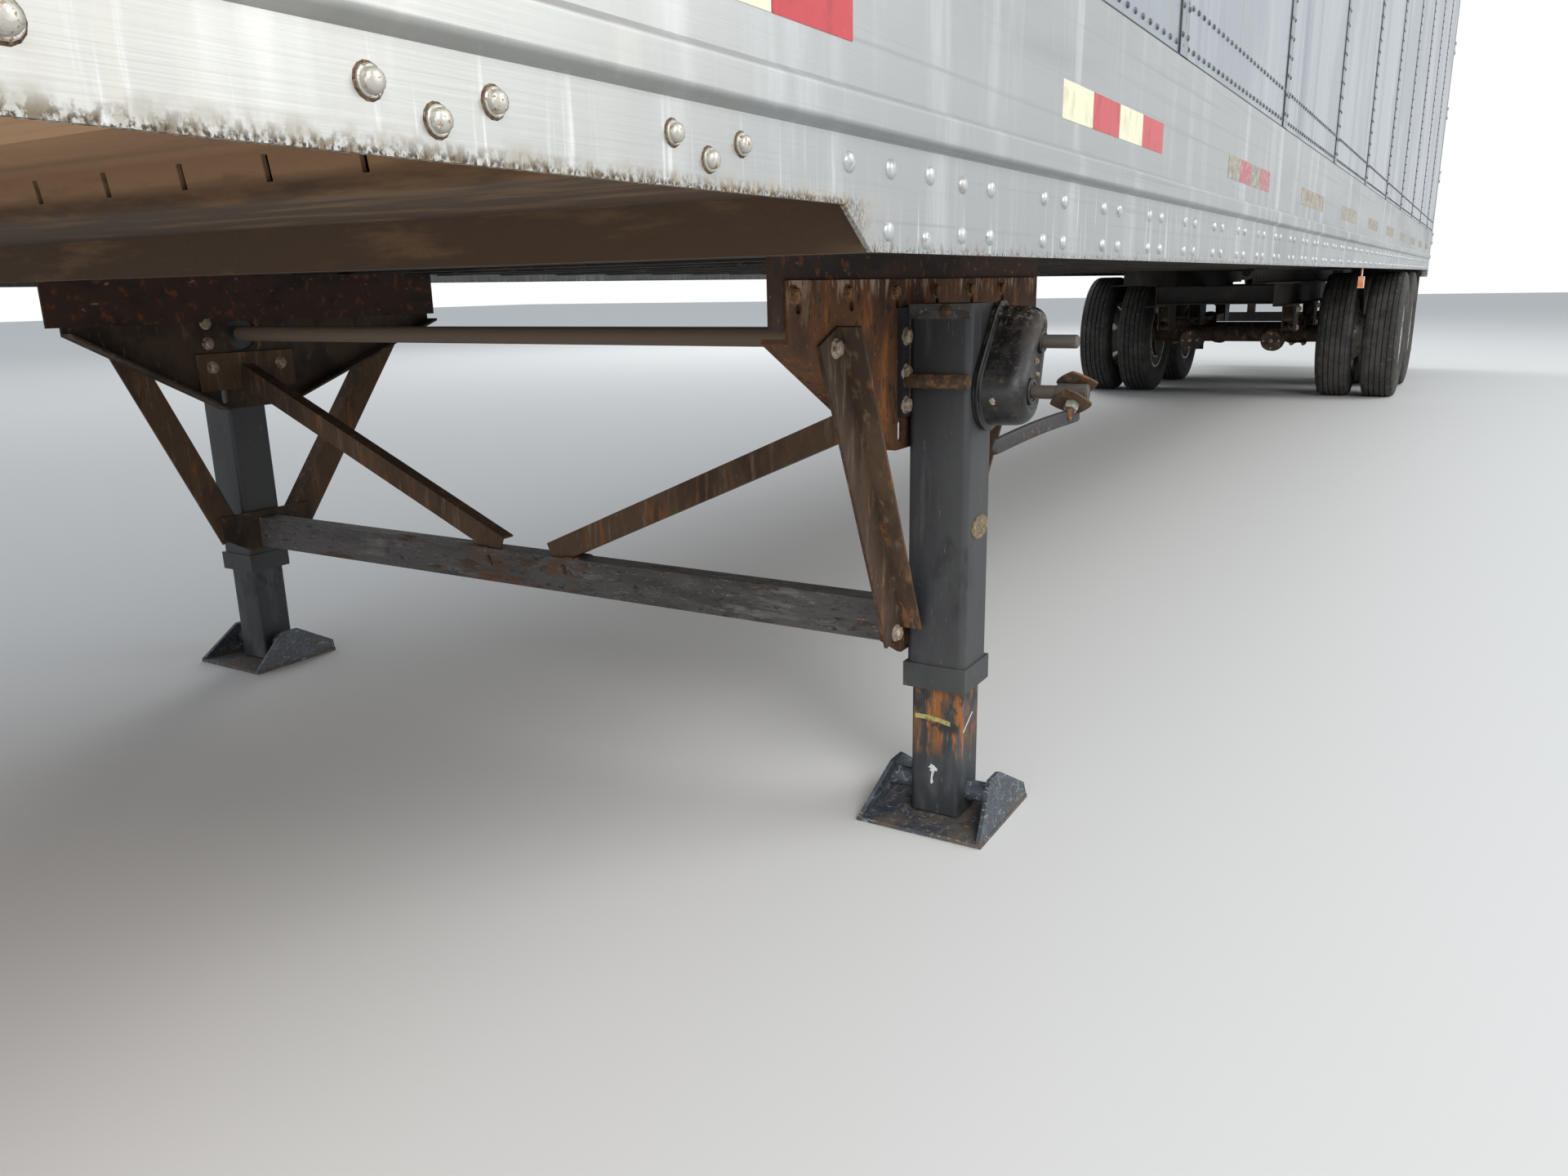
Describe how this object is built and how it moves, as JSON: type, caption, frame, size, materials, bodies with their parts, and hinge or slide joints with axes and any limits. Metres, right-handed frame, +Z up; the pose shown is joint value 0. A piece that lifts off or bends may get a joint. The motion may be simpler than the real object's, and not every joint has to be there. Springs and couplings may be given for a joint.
{
  "type": "semi trailer",
  "caption": "Plate-wall dry van semi trailer standing on its landing gear, with rusty wing plates, a folded crank, swing doors and a sliding tandem",
  "frame": {"origin": "ground under the middle of the outline", "axes": "X to the trailer's left, Y to its rear, Z up"},
  "size_m": [2.591, 16.29, 4.115],
  "materials": {
    "aluminium": "brushed, streaked and dusty",
    "wood": "worn laminated boards",
    "frame_steel": "dark coating with dust and rust",
    "coupler_steel": "galvanised, brown with dust",
    "rusty_steel": "rough orange-brown rust",
    "black_steel": "satin black, dusty and chipped",
    "rubber": "matt and dusty",
    "tyre": "ribbed tread with dust",
    "wheel_steel": "white paint with road dirt",
    "door_white": "satin white, lightly soiled",
    "rear_steel": "galvanised with dirt in the corners",
    "red_lens": "ribbed lens",
    "amber_lens": "ribbed lens"
  },
  "bodies": {
    "trailer": {"bottom_rail_left": "aluminium", "bottom_rail_right": "aluminium", "wall_panels_left": "aluminium", "wall_panels_right": "aluminium", "wall_posts_left": "aluminium", "wall_posts_right": "aluminium", "top_rail_left": "aluminium", "top_rail_right": "aluminium", "front_wall": "aluminium", "roof_panel": "aluminium", "roof_bows": "aluminium", "nose_connectors": "aluminium", "floor_deck": "wood", "crossmembers": "frame_steel", "slide_rails": "frame_steel", "bogie_frame": "frame_steel", "flap_hangers": "frame_steel", "rear_guard": "frame_steel", "axles": "frame_steel", "spring_rockers": "frame_steel", "radius_rods": "frame_steel", "upper_coupler": "coupler_steel", "gear_rails": "rusty_steel", "wing_plates": "rusty_steel", "gear_struts": "rusty_steel", "gear_brackets": "rusty_steel", "gear_cross_shaft": "rusty_steel", "leaf_springs": "rusty_steel", "gear_outer_legs": "black_steel", "gear_inner_legs": "black_steel", "gear_feet": "black_steel", "gear_crossbar": "black_steel", "gear_braces": "black_steel", "gearbox": "black_steel", "crank_handle": "black_steel", "brake_chambers": "black_steel", "air_tank": "black_steel", "mud_flaps": "rubber", "dock_bumpers": "rubber", "rear_frame": "rear_steel", "red_lamps": "red_lens", "amber_lamps": "amber_lens"},
    "door_left": {"door_left": "door_white", "door_hardware_left": "rear_steel"},
    "door_right": {"door_right": "door_white", "door_hardware_right": "rear_steel"},
    "wheels_front_left": {"tyres_front_left": "tyre", "wheels_front_left": "wheel_steel"},
    "wheels_front_right": {"tyres_front_right": "tyre", "wheels_front_right": "wheel_steel"},
    "wheels_rear_left": {"tyres_rear_left": "tyre", "wheels_rear_left": "wheel_steel"},
    "wheels_rear_right": {"tyres_rear_right": "tyre", "wheels_rear_right": "wheel_steel"}
  },
  "joints": [
    {"name": "turn_front_left", "type": "hinge", "parent": "trailer", "child": "wheels_front_left", "pos_m": [0.9845, 4.575, 0.507], "axis": [1, 0, 0], "continuous": true},
    {"name": "turn_front_right", "type": "hinge", "parent": "trailer", "child": "wheels_front_right", "pos_m": [-0.9845, 4.575, 0.507], "axis": [1, 0, 0], "continuous": true},
    {"name": "turn_rear_left", "type": "hinge", "parent": "trailer", "child": "wheels_rear_left", "pos_m": [0.9845, 5.82, 0.507], "axis": [1, 0, 0], "continuous": true},
    {"name": "turn_rear_right", "type": "hinge", "parent": "trailer", "child": "wheels_rear_right", "pos_m": [-0.9845, 5.82, 0.507], "axis": [1, 0, 0], "continuous": true},
    {"name": "swing_door_left", "type": "hinge", "parent": "trailer", "child": "door_left", "pos_m": [1.281, 8.134, 2.57], "axis": [0, 0, -1], "range_deg": [0, 270]},
    {"name": "swing_door_right", "type": "hinge", "parent": "trailer", "child": "door_right", "pos_m": [-1.281, 8.134, 2.57], "axis": [0, 0, 1], "range_deg": [0, 270]}
  ]
}
